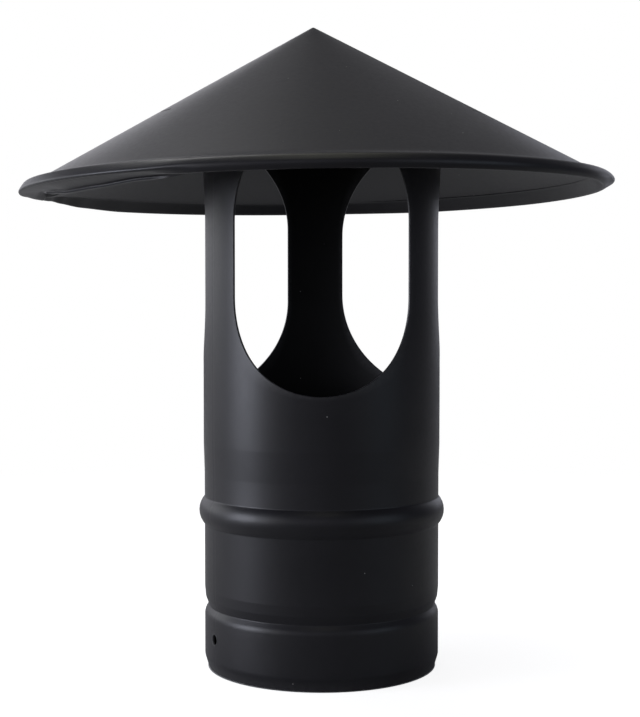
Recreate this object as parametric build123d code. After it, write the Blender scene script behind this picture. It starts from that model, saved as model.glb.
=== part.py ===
# Chimney rain cap: a slotted pipe with a spigot at its foot and a conical hat welded on top.
# The frame: +Z up, the origin on the pipe's axis at its bottom edge, -Y towards the front window.
# Angles round the pipe are counted from the front, positive towards +X.
import os
from math import atan, cos, degrees, pi, radians, sin, sqrt, tan

from build123d import *

# Pipe sheet
pipe_wall = 0.8
spigot_radius = 40.0
body_step = 0.3
pipe_height = 192.6
neck_above_bead = 12.8
neck_length = 10.0
neck_bend = 10.0
foot_inset = 1.2
foot_height = 4.0
foot_bend = 5.0

# Groove rolled into the spigot
groove_height = 21.0
groove_depth = 1.35
groove_below = 2.9
groove_above = 2.8
groove_run_out = 3.4
groove_shoulder = 0.32
groove_bend = 1.2

# Stop bead rolled out above the spigot
bead_height = 53.2
bead_rise = 1.87
bead_half_width = 4.6
bead_bend = 1.0

# Straps between the windows: angle of the middle, width along the wall
side_strap_angle = 60.0
side_strap_width = 21.4
rear_strap_angle = 183.5
rear_strap_width = 20.6
window_height = 87.3
top_ring = 11.6

# Small round hole on the pipe's seam
hole_diameter = 3.4
hole_height = 11.7
seam_angle = -62.5
seam_width = 2.4
seam_height = 0.35
seam_end_gap = 1.5

# Hat sheet
hat_wall = 0.7
hat_radius = 99.85
hat_rise = 52.95
hat_gap = 0.98
curl_radius = 2.2
curl_turn = 250.0
shoulder = 3.3
crease_bend = 1.5

# The hat sits a little askew on this cap
hat_shift = -1.9
hat_lean = 1.05

# Lapped seam of the hat
lap_angle = -97.0
lap_width = 9.0
lap_start = 9.0
lap_end_gap = 1.5
spot_count = 6
spot_radius = 2.2
spot_crown = 1.5
spot_height = 0.35
spot_start = 20.0
spot_end_gap = 10.35

# Tabs that carry the hat
tab_thickness = 1.5
tab_width = 13.0
tab_overlap = 9.1
tab_arm = 16.7
weld_radius = 1.3
weld_end_gap = 2.0

# Derived sizes
body_radius = spigot_radius + body_step
neck_start = bead_height + neck_above_bead
window_top = pipe_height - top_ring
window_bottom = window_top - window_height
crease_radius = hat_radius - curl_radius - shoulder
cone_angle = atan(hat_rise / crease_radius)
sheet_drop = hat_wall / cos(cone_angle)
apex_height = pipe_height + hat_gap + body_radius * tan(cone_angle) + sheet_drop
rim_top = apex_height - hat_rise
tab_foot = pipe_height - tab_overlap
tab_reach = body_radius + tab_arm
weld_length = tab_width - 2 * weld_end_gap
working_reach = 2 * hat_radius
working_height = 2 * apex_height
hat_place = Pos(hat_shift, 0, rim_top) * Rot(0, -hat_lean, 0) * Pos(0, 0, -rim_top)


def outward(angle):
    """Turn a piece drawn along +X so that it points out at an angle from the front."""
    return Rot(0, 0, angle - 90)


def turned(profile):
    """Revolve a face drawn with its X as radius and its Y as height."""
    return revolve(Plane.XZ * profile, Axis.Z)


def sheet_profile(line, wall, side):
    """Give an open line its wall on one side, cut off at the axis and at the bottom."""
    quarter_plane = Rectangle(working_reach, working_height, align=(Align.MIN, Align.MIN))
    return Face(line.offset_2d(wall, side=side)) & quarter_plane


def is_bead_foot(corner):
    """Whether a corner of the pipe's line is one of the two ends of the bead's arc."""
    from_middle = abs(corner.Y - bead_height)
    return abs(from_middle - bead_half_width) < pipe_wall / 10


def pipe_line():
    """Outside line of the pipe wall, from just below the bottom edge up."""
    lower = FilletPolyline(
        (spigot_radius - 2 * foot_inset, -foot_height),
        (spigot_radius, foot_height),
        (spigot_radius, groove_height - groove_below),
        (spigot_radius - groove_depth, groove_height),
        (spigot_radius - groove_shoulder, groove_height + groove_above),
        (spigot_radius, groove_height + groove_above + groove_run_out),
        (spigot_radius, bead_height - bead_half_width),
        radius=(foot_bend, groove_bend, groove_bend, groove_bend, foot_bend),
    )
    bead = ThreePointArc(
        (spigot_radius, bead_height - bead_half_width),
        (spigot_radius + bead_rise, bead_height),
        (spigot_radius, bead_height + bead_half_width),
    )
    upper = FilletPolyline(
        (spigot_radius, bead_height + bead_half_width),
        (spigot_radius, neck_start),
        (body_radius, neck_start + neck_length),
        (body_radius, pipe_height),
        radius=neck_bend,
    )
    line = Wire(lower.edges() + bead.edges() + upper.edges())
    bead_feet = [corner for corner in line.vertices() if is_bead_foot(corner)]
    return line.fillet_2d(bead_bend, bead_feet)


def strap_edges():
    """Start and end angle of each window, from strap to strap round the pipe."""
    side_half = degrees(side_strap_width / body_radius) / 2
    rear_half = degrees(rear_strap_width / body_radius) / 2
    left_strap = 360 - side_strap_angle
    return (
        (side_half - side_strap_angle, side_strap_angle - side_half),
        (side_strap_angle + side_half, rear_strap_angle - rear_half),
        (rear_strap_angle + rear_half, left_strap - side_half),
    )


def round_end(half_width, centre, way):
    """Half circle of the flat sheet as it looks from the front once the sheet is rolled."""
    steps = 12
    points = []
    for step in range(steps + 1):
        along = half_width * cos(pi * step / steps)
        rise = half_width * sin(pi * step / steps)
        points.append((body_radius * sin(along / body_radius), centre + way * rise))
    return Spline(points, tangents=((0, way), (0, -way)))


def window_cutter(start_angle, end_angle):
    """Block with the outline of one window, pointing out through the wall."""
    half_width = body_radius * radians(end_angle - start_angle) / 2
    low_centre = window_bottom + half_width
    high_centre = window_top - half_width
    low_end = round_end(half_width, low_centre, -1)
    high_end = round_end(half_width, high_centre, 1)
    right_side = Line(high_end @ 0, low_end @ 0)
    left_side = Line(low_end @ 1, high_end @ 1)
    outline = make_face(Curve() + [low_end, left_side, high_end, right_side])
    block = extrude(Plane.XZ * outline, 2 * body_radius)
    return Rot(0, 0, (start_angle + end_angle) / 2) * block


def round_hole():
    """Cutter for the small hole on the seam."""
    drill = Cylinder(hole_diameter / 2, spigot_radius, rotation=(0, 90, 0))
    return outward(seam_angle) * Pos(spigot_radius, 0, hole_height) * drill


def pipe_body():
    """The rolled pipe with its windows, bead, groove, turned-in foot and hole."""
    pipe = turned(sheet_profile(pipe_line(), pipe_wall, Side.LEFT))
    for start_angle, end_angle in strap_edges():
        pipe -= window_cutter(start_angle, end_angle)
    return pipe - round_hole()


def pipe_seam():
    """The low weld bead that runs up the inside of the pipe along its seam."""
    line = pipe_line()
    bead = sheet_profile(line, pipe_wall + seam_height, Side.LEFT)
    bead -= sheet_profile(line, pipe_wall, Side.LEFT)
    length = pipe_height - 2 * seam_end_gap
    strip = Box(working_reach, seam_width, length, align=(Align.MIN, Align.CENTER, Align.MIN))
    strip = outward(seam_angle) * Pos(0, 0, seam_end_gap) * strip
    return turned(bead) & strip - round_hole()


def hat_line():
    """Outside line of the hat, from beyond the axis over the cone and round the curl."""
    curl_middle = hat_radius - curl_radius
    slope = FilletPolyline(
        (-shoulder, apex_height + shoulder * tan(cone_angle)),
        (crease_radius, rim_top),
        (curl_middle, rim_top),
        radius=crease_bend,
    )
    curl = CenterArc((curl_middle, rim_top - curl_radius), curl_radius, 90, -curl_turn)
    return Wire(slope.edges() + curl.edges())


def under_hat(drop=0.0):
    """The solid cone of air below the hat's sheet, lowered by a drop."""
    outline = Polyline(
        (0, 0),
        (0, apex_height - sheet_drop - drop),
        (crease_radius, rim_top - sheet_drop - drop),
        (crease_radius, 0),
        close=True,
    )
    return turned(make_face(outline))


def under_layer(thickness):
    """Sheet of one thickness that follows the cone's underside."""
    return under_hat() - under_hat(thickness / cos(cone_angle))


def along_lap(piece):
    """Turn a piece drawn along +X in the hat's own frame to the lapped seam."""
    return outward(lap_angle) * piece


def hat_shell():
    """The hat: one sheet with its lap and its rolled rim, standing a little askew."""
    profile = sheet_profile(hat_line(), hat_wall, Side.RIGHT)
    sheet = turned(profile)
    lap_length = crease_radius - lap_end_gap - lap_start
    strip = Box(lap_length, lap_width, working_height, align=(Align.MIN, Align.CENTER, Align.MIN))
    lap = under_layer(hat_wall) & along_lap(Pos(lap_start, 0, 0) * strip)
    return hat_place * (sheet + lap)


def hat_seam_spots():
    """Weld spots in a row along the lap, on its inner side."""
    spot_root = 2 * spot_radius - spot_crown
    spot = Cone(spot_crown, spot_root, 2 * spot_height)
    spot_step = (crease_radius - spot_end_gap - spot_start) / (spot_count - 1)
    spots = []
    for index in range(spot_count):
        radius = spot_start + index * spot_step
        height = apex_height - radius * tan(cone_angle) - 2 * sheet_drop
        seat = Pos(radius, 0, height) * Rot(0, degrees(cone_angle), 0)
        spots.append(hat_place * (along_lap(seat * spot) & under_hat(sheet_drop)))
    return Compound(spots)


def tab_slot(angle):
    """Upright block with a tab's width that points out over one strap."""
    block = Box(tab_reach, tab_width, working_height, align=(Align.MIN, Align.CENTER, Align.MIN))
    return outward(angle) * block


def tab(angle):
    """Bent tab: one leg on the pipe's top ring, the other along the hat's underside."""
    leg_height = working_height - tab_foot
    leg = Cylinder(body_radius + tab_thickness, leg_height, align=(Align.CENTER, Align.CENTER, Align.MIN))
    below = hat_place * under_hat()
    upright = (Pos(0, 0, tab_foot) * leg) & below
    slanted = hat_place * under_layer(tab_thickness)
    core = Cylinder(body_radius, working_height, align=(Align.CENTER, Align.CENTER, Align.MIN))
    return (upright + slanted) & tab_slot(angle) - core


def weld_bar():
    """Round bar that lies across a tab's end."""
    return Cylinder(weld_radius, weld_length, rotation=(90, 0, 0))


def foot_weld(angle):
    """Weld bead between a tab's lower end and the pipe."""
    bar = outward(angle) * Pos(body_radius, 0, tab_foot) * weld_bar()
    core = Cylinder(body_radius, working_height, align=(Align.CENTER, Align.CENTER, Align.MIN))
    return bar - core - tab(angle)


def reach_weld(angle):
    """Weld bead between a tab's outer end and the hat."""
    flat_end = Pos(0, 0, rim_top) * outward(angle) * Pos(tab_reach, 0, 0)
    in_hat = (hat_place.inverse() * flat_end).position
    radius = sqrt(in_hat.X**2 + in_hat.Y**2)
    seat = Vector(in_hat.X, in_hat.Y, apex_height - sheet_drop - radius * tan(cone_angle))
    end = (hat_place * Pos(*seat)).position
    bar = Pos(*end) * outward(angle) * weld_bar()
    return bar & (hat_place * under_hat()) - tab(angle)


tab_angles = {"left": -side_strap_angle, "right": side_strap_angle, "rear": rear_strap_angle}

nodes = {
    "pipe_body": pipe_body(),
    "pipe_seam_weld": pipe_seam(),
    "hat_shell": hat_shell(),
    "hat_seam_spots": hat_seam_spots(),
    "tab_foot_welds": Compound([foot_weld(angle) for angle in tab_angles.values()]),
    "tab_reach_welds": Compound([reach_weld(angle) for angle in tab_angles.values()]),
}
for side, angle in tab_angles.items():
    nodes["tab_" + side] = tab(angle)

os.makedirs("parts", exist_ok=True)
for name, shape in nodes.items():
    export_step(shape, os.path.join("parts", name + ".step"))
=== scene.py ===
"""Looks of a chimney rain cap: a windowed pipe with a spigot and a conical hat.

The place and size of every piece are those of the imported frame: +Z is up, the
origin is on the pipe's axis at its bottom edge, and -Y is the front. Sizes are
written in millimetres and turned into metres where a mesh is finished. Angles
round the pipe are counted in degrees from the front, positive towards +X.
"""
import logging
from collections.abc import Callable, Iterable, Sequence
from dataclasses import dataclass
from enum import Enum
from math import atan, atan2, cos, hypot, pi, radians, sin, sqrt, tan
from typing import TypeVar

import bmesh
import bpy
from bmesh.types import BMEdge, BMesh, BMVert
from mathutils import Matrix, Vector


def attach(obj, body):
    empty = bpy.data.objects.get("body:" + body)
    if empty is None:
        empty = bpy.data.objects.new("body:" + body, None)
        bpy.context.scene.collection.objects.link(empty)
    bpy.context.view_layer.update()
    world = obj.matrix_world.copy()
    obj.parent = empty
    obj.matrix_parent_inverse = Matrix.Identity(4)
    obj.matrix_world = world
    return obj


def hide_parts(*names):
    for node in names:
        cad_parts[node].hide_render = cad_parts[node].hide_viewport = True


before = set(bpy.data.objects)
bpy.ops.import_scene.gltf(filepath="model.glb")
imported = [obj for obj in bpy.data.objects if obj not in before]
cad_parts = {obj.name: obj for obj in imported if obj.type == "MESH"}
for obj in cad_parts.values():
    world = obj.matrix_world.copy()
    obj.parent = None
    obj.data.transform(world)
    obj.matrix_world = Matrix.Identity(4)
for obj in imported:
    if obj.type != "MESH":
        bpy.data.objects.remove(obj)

MM = 0.001
BODY = "root"
WEAR = "wear"

# Millimetres below which vertices are merged, and below which a place counts as the same.
MERGE = 0.01
NEAR = 0.001
# Steps round a bent corner and across a softened edge, and the degrees it is softened from.
BEND_STEPS = 6
EDGE_STEPS = 2
EDGE_ANGLE = 50.0
# Rounds after which a height under the leaning hat has settled.
LEAN_ROUNDS = 4
WHITE = (1.0, 1.0, 1.0, 1.0)

Point = tuple[float, float]
Corner = tuple[float, float, float]
Runs = tuple[Point, ...]
Colour = tuple[float, float, float, float]
Part = TypeVar("Part")
Socket = bpy.types.NodeSocket
NodeValues = dict[str | int, Socket | float | Colour]

log = logging.getLogger("rain_cap")


class Side(Enum):
    """The strap that a tab stands on, by its angle round the pipe."""

    LEFT = -60.0
    RIGHT = 60.0
    REAR = 183.5


@dataclass(frozen=True)
class CapSizes:
    """Sizes that several pieces share, in millimetres and degrees."""

    pipe_wall: float = 0.8
    spigot_radius: float = 40.0
    body_radius: float = 40.3
    pipe_height: float = 192.6
    window_top: float = 181.0
    window_bottom: float = 93.7
    side_strap: float = 21.4
    rear_strap: float = 20.6
    seam_angle: float = -62.5
    hole_height: float = 11.7
    hole_radius: float = 1.7
    hat_wall: float = 0.7
    hat_rise: float = 52.95
    hat_gap: float = 0.98
    crease_radius: float = 94.35
    hat_shift: float = -1.9
    hat_lean: float = 1.05
    lap_angle: float = -97.0
    lap_width: float = 9.0
    tab_foot: float = 183.5
    tab_reach: float = 57.0

    @property
    def cone_angle(self) -> float:
        """Slope of the hat in radians."""
        return atan(self.hat_rise / self.crease_radius)

    @property
    def sheet_drop(self) -> float:
        """Thickness of the hat's sheet measured straight down."""
        return self.hat_wall / cos(self.cone_angle)

    @property
    def apex_height(self) -> float:
        """Height of the hat's point."""
        rise = self.body_radius * tan(self.cone_angle)
        return self.pipe_height + self.hat_gap + rise + self.sheet_drop

    @property
    def rim_top(self) -> float:
        """Height of the hat's flat shoulder."""
        return self.apex_height - self.hat_rise

    @property
    def hat_place(self) -> Matrix:
        """Where the hat's own frame stands, shifted and leaning a little.

        Returns:
            The transform from the hat's frame to the object's.
        """
        lean = Matrix.Rotation(radians(-self.hat_lean), 4, "Y")
        up = Matrix.Translation((self.hat_shift, 0, self.rim_top))
        down = Matrix.Translation((0, 0, -self.rim_top))
        return up @ lean @ down

    def below_hat(self, x: float, y: float) -> float:
        """Height of the sheet's underside above a point of the floor plan.

        Args:
            x: place across the object.
            y: place from front to back.

        Returns:
            The height in millimetres.
        """
        height = self.rim_top
        for _ in range(LEAN_ROUNDS):
            local = self.hat_place.inverted() @ Vector((x, y, height))
            radius = hypot(local.x, local.y)
            cone = self.apex_height - self.sheet_drop - radius * tan(self.cone_angle)
            height += (cone - local.z) * cos(radians(self.hat_lean))
        return height


def ease(value: float, start: float, end: float) -> float:
    """Smooth step from 0 at the start to 1 at the end.

    Args:
        value: where to read the step.
        start: value at which it leaves 0.
        end: value at which it reaches 1.

    Returns:
        A number from 0 to 1.
    """
    share = min(max((value - start) / (end - start), 0.0), 1.0)
    return share * share * (3 - 2 * share)


def mix(first: float, second: float, share: float) -> float:
    """The number that lies a share of the way from the first to the second."""
    return first + (second - first) * share


def read_curve(points: Sequence[Point], value: float) -> float:
    """Read a smooth curve through a few points.

    Args:
        points: pairs of a place and the height there, in order.
        value: the place to read.

    Returns:
        The height; beyond the ends, that of the end.
    """
    for before, after in zip(points, points[1:]):
        if value < after[0]:
            return mix(before[1], after[1], ease(value, before[0], after[0]))
    return points[-1][1]


def rounded_line(corners: Sequence[Corner], steps: int = BEND_STEPS) -> list[Point]:
    """Points of a line whose corners are rounded.

    Args:
        corners: two coordinates and a rounding radius each; 0 keeps a corner sharp.
        steps: number of steps along each rounding.

    Returns:
        The points in order, both ends included.
    """
    points = [Vector(corners[0][:2])]
    for before, corner, after in zip(corners, corners[1:], corners[2:]):
        here = Vector(corner[:2])
        if corner[2] == 0:
            points.append(here)
            continue
        back = (Vector(before[:2]) - here).normalized()
        ahead = (Vector(after[:2]) - here).normalized()
        half = back.angle(ahead) / 2
        middle = here + (back + ahead).normalized() * corner[2] / sin(half)
        first = here + back * corner[2] / tan(half) - middle
        last = here + ahead * corner[2] / tan(half) - middle
        for step in range(steps + 1):
            points.append(middle + first.slerp(last, step / steps) * corner[2])
    points.append(Vector(corners[-1][:2]))
    return [(point.x, point.y) for point in points]


def unique(items: Iterable[Part]) -> list[Part]:
    """The items in their order without repeats, so that every run gives the same mesh."""
    return list(dict.fromkeys(items))


def extrude_row(
    mesh: BMesh, edges: Sequence[BMEdge], place: Callable[[BMVert], Vector]
) -> list[BMEdge]:
    """Grow one row of faces from a line of edges.

    Args:
        mesh: the mesh that grows.
        edges: the line to grow from.
        place: gives the place of the new vertex that belongs to an old one.

    Returns:
        The edges of the new line.
    """
    old = {vert for edge in edges for vert in edge.verts}
    grown = bmesh.ops.extrude_edge_only(mesh, edges=edges)["geom"]
    places = {}
    for vert in grown:
        if isinstance(vert, BMVert) and vert not in old:
            for edge in vert.link_edges:
                if edge.other_vert(vert) in old:
                    places[vert] = place(edge.other_vert(vert))
    for vert, spot in places.items():
        vert.co = spot
    lines = unique(edge for vert in places for edge in vert.link_edges)
    return [edge for edge in lines if all(vert in places for vert in edge.verts)]


def point_outwards(mesh: BMesh, outward: Callable[[Vector], Vector]) -> None:
    """Turn an open sheet's faces so that most look outwards.

    Args:
        mesh: the sheet.
        outward: gives the outward direction at a point.
    """
    bmesh.ops.recalc_face_normals(mesh, faces=mesh.faces)
    side = sum(
        face.normal.dot(outward(face.calc_center_median())) * face.calc_area()
        for face in mesh.faces
    )
    if side < 0:
        bmesh.ops.reverse_faces(mesh, faces=mesh.faces)


def away_from_axis(point: Vector) -> Vector:
    """Direction straight out from the pipe's axis."""
    return Vector((point.x, point.y, 0)).normalized()


@dataclass
class NodeBench:
    """A node tree that is put together from nothing, node by node."""

    tree: bpy.types.NodeTree

    def __post_init__(self) -> None:
        """Clear away the nodes that a new tree comes with."""
        self.tree.nodes.clear()

    def add(self, kind: str, values: NodeValues | None = None, **settings: str) -> bpy.types.Node:
        """Add a node, set its options and feed its inputs.

        Args:
            kind: the node's type, without its common first part.
            values: for each input, a plain value or the socket that feeds it.
            settings: the node's own options.

        Returns:
            The node.
        """
        node = self.tree.nodes.new("ShaderNode" + kind)
        for name, setting in settings.items():
            setattr(node, name, setting)
        for name, value in (values or {}).items():
            if isinstance(value, bpy.types.NodeSocket):
                self.tree.links.new(value, node.inputs[name])
            else:
                node.inputs[name].default_value = value
        return node

    def maths(self, operation: str, first: Socket, second: Socket | float) -> Socket:
        """Work out a number from two others."""
        return self.add("Math", {0: first, 1: second}, operation=operation).outputs["Value"]

    def remap(self, value: Socket, read: Point, give: Point, smooth: bool = False) -> Socket:
        """Carry a number from one range over to another, and stop at its ends.

        Args:
            value: the number's socket.
            read: the range that is read.
            give: the range that is given.
            smooth: whether it eases in and out.

        Returns:
            The socket of the result.
        """
        ends = {"From Min": read[0], "From Max": read[1], "To Min": give[0], "To Max": give[1]}
        style = "SMOOTHSTEP" if smooth else "LINEAR"
        node = self.add("MapRange", {"Value": value, **ends}, interpolation_type=style)
        return node.outputs["Result"]

    def noise(self, place: Socket, scale: float, detail: float) -> Socket:
        """Add a cloudy pattern.

        Args:
            place: the coordinates that it lies on.
            scale: patches per metre.
            detail: how many finer layers it has.

        Returns:
            The socket of its value.
        """
        values = {"Vector": place, "Scale": scale, "Detail": detail}
        return self.add("TexNoise", values).outputs["Fac"]

    def bump(self, height: Socket, depth: float, under: Socket | None = None) -> Socket:
        """Add a relief of a pattern.

        Args:
            height: the pattern's value.
            depth: height of the relief in millimetres.
            under: a coarser relief that this one lies on.

        Returns:
            The socket of the new normal.
        """
        values = {"Height": height, "Strength": 1.0, "Distance": depth * MM}
        if under is not None:
            values["Normal"] = under
        return self.add("Bump", values).outputs["Normal"]

    def coat(self, share: Socket, under: Socket, over: Colour) -> Socket:
        """Lay a plain colour over another one, as far as the share says."""
        values = {"Factor": share, "A": under, "B": over}
        return self.add("Mix", values, data_type="RGBA").outputs["Result"]

    def between(self, share: Socket, first: Socket, second: Socket) -> Socket:
        """Go over from the first shader to the second, as far as the share says."""
        return self.add("MixShader", {"Fac": share, 1: first, 2: second}).outputs["Shader"]


@dataclass(frozen=True)
class BlackEnamel:
    """Fired black enamel with a fine orange-peel skin, worn paler on the edges."""

    name: str = "black_enamel_finish"
    dark: Colour = (0.0062, 0.0059, 0.0084, 1.0)
    pale: Colour = (0.0102, 0.0096, 0.0128, 1.0)
    tone_range: Point = (0.3, 0.75)
    glass: float = 1.5
    specular: float = 0.5
    roughness: float = 0.40
    roughness_swing: float = 0.05
    cloud_scale: float = 60.0
    cloud_detail: float = 3.0
    peel_scale: float = 700.0
    grain_scale: float = 2600.0
    skin_detail: float = 2.0
    peel_depth: float = 0.012
    grain_depth: float = 0.006
    worn: Colour = (0.045, 0.044, 0.046, 1.0)
    dust: Colour = (0.42, 0.41, 0.40, 1.0)
    dust_cells: float = 120.0
    dust_size: float = 0.026
    dust_core: float = 0.6

    def material(self) -> bpy.types.Material:
        """Build the finish once and hand it out again after that.

        Returns:
            The material.
        """
        known = bpy.data.materials.get(self.name)
        if known is not None:
            return known
        material = bpy.data.materials.new(self.name)
        material.use_nodes = True
        bench = NodeBench(material.node_tree)
        place = bench.add("TexCoord").outputs["Object"]
        cloud = bench.noise(place, self.cloud_scale, self.cloud_detail)
        peel = bench.noise(place, self.peel_scale, self.skin_detail)
        grain = bench.noise(place, self.grain_scale, self.skin_detail)
        swing = self.roughness_swing
        gloss = (self.roughness - swing, self.roughness + swing)
        values = {
            "IOR": self.glass,
            "Specular IOR Level": self.specular,
            "Base Color": self.colour(bench, place, cloud, peel),
            "Roughness": bench.remap(peel, (0.0, 1.0), gloss),
            "Normal": bench.bump(grain, self.grain_depth, bench.bump(peel, self.peel_depth)),
        }
        shader = bench.add("BsdfPrincipled", values)
        bench.add("OutputMaterial", {"Surface": shader.outputs["BSDF"]})
        return material

    def colour(self, bench: NodeBench, place: Socket, cloud: Socket, peel: Socket) -> Socket:
        """Mix the enamel's colour: clouded black, rubbed edges and specks of dust.

        Args:
            bench: the material's nodes.
            place: the object's own coordinates.
            cloud: the coarse pattern that the black follows.
            peel: the skin's pattern, which breaks up the rubbed edges.

        Returns:
            The socket of the colour.
        """
        tone = bench.add("ValToRGB", {"Fac": cloud})
        stops = zip(tone.color_ramp.elements, self.tone_range, (self.dark, self.pale))
        for element, position, colour in stops:
            element.position = position
            element.color = colour
        edges = bench.add("Attribute", attribute_name=WEAR).outputs["Fac"]
        rubbed = bench.maths("MULTIPLY", edges, peel)
        worn = bench.coat(rubbed, tone.outputs["Color"], self.worn)
        cells = bench.add("TexVoronoi", {"Vector": place, "Scale": self.dust_cells})
        core = (self.dust_size, self.dust_size * self.dust_core)
        speck = bench.remap(cells.outputs["Distance"], core, (0.0, 1.0))
        return bench.coat(speck, worn, self.dust)


@dataclass(frozen=True)
class EnamelOverWeld(BlackEnamel):
    """The same enamel where it covers the rougher metal of a weld."""

    name: str = "enamel_over_weld"
    roughness: float = 0.5
    peel_scale: float = 420.0
    peel_depth: float = 0.03
    grain_depth: float = 0.012


@dataclass(frozen=True)
class DullInsidePaintedShade(BlackEnamel):
    """The dull black on the inside of the pipe, coloured darker than the outer enamel as painted
    shade for the inside of the pipe.
    """

    name: str = "dull_inside_painted_shade"
    # Painted shade: this black is darker than the outer enamel's and stands in for the shade
    # inside the pipe; the lower specular and higher roughness are the real dull finish.
    dark: Colour = (0.0012, 0.0012, 0.0014, 1.0)
    pale: Colour = (0.0030, 0.0029, 0.0032, 1.0)
    specular: float = 0.2
    roughness: float = 0.6


def finish_piece(
    name: str, mesh: BMesh, finish: BlackEnamel, nodes: Sequence[str]
) -> bpy.types.Object:
    """Turn a finished mesh into a piece of the object.

    Args:
        name: the piece's name.
        mesh: its mesh in metres, freed here.
        finish: what its surface is made of.
        nodes: the frame's nodes that it stands for.

    Returns:
        The new object.
    """
    data = bpy.data.meshes.new(name)
    wear = mesh.verts.layers.float.new(WEAR)
    for vert in mesh.verts:
        vert[wear] = 1.0 if vert.is_boundary else 0.0
    for face in mesh.faces:
        face.smooth = True
    mesh.to_mesh(data)
    mesh.free()
    piece = bpy.data.objects.new(name, data)
    bpy.context.scene.collection.objects.link(piece)
    data.materials.append(finish.material())
    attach(piece, BODY)
    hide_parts(*nodes)
    return piece


def finish_solid(
    name: str, mesh: BMesh, finish: BlackEnamel, nodes: Sequence[str]
) -> bpy.types.Object:
    """Finish a closed mesh that was made in millimetres.

    Args:
        name: the piece's name.
        mesh: its mesh, freed here.
        finish: what its surface is made of.
        nodes: the frame's nodes that it stands for.

    Returns:
        The new object.
    """
    bmesh.ops.scale(mesh, vec=(MM, MM, MM), verts=mesh.verts)
    bmesh.ops.recalc_face_normals(mesh, faces=mesh.faces)
    return finish_piece(name, mesh, finish, nodes)


def give_wall(
    piece: bpy.types.Object, wall: float, edge: float, inside: BlackEnamel | None = None
) -> None:
    """Give a sheet its thickness and soften its edges.

    Args:
        piece: the sheet, facing outwards.
        wall: thickness in millimetres, added inwards.
        edge: width of the softened edges in millimetres.
        inside: finish of the inner face, if it has its own.
    """
    solid = piece.modifiers.new("wall", "SOLIDIFY")
    solid.thickness = wall * MM
    solid.offset = -1.0
    solid.use_even_offset = True
    solid.use_quality_normals = True
    if inside is not None:
        piece.data.materials.append(inside.material())
        solid.material_offset = 1
    soft = piece.modifiers.new("edge", "BEVEL")
    soft.width = edge * MM
    soft.segments = EDGE_STEPS
    soft.limit_method = "ANGLE"
    soft.angle_limit = radians(EDGE_ANGLE)
    soft.harden_normals = True
    soft.material = -1


@dataclass(frozen=True)
class Window:
    """One long round-ended window and the panel of sheet round it."""

    start: float
    end: float
    panel_start: float
    panel_end: float


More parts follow.
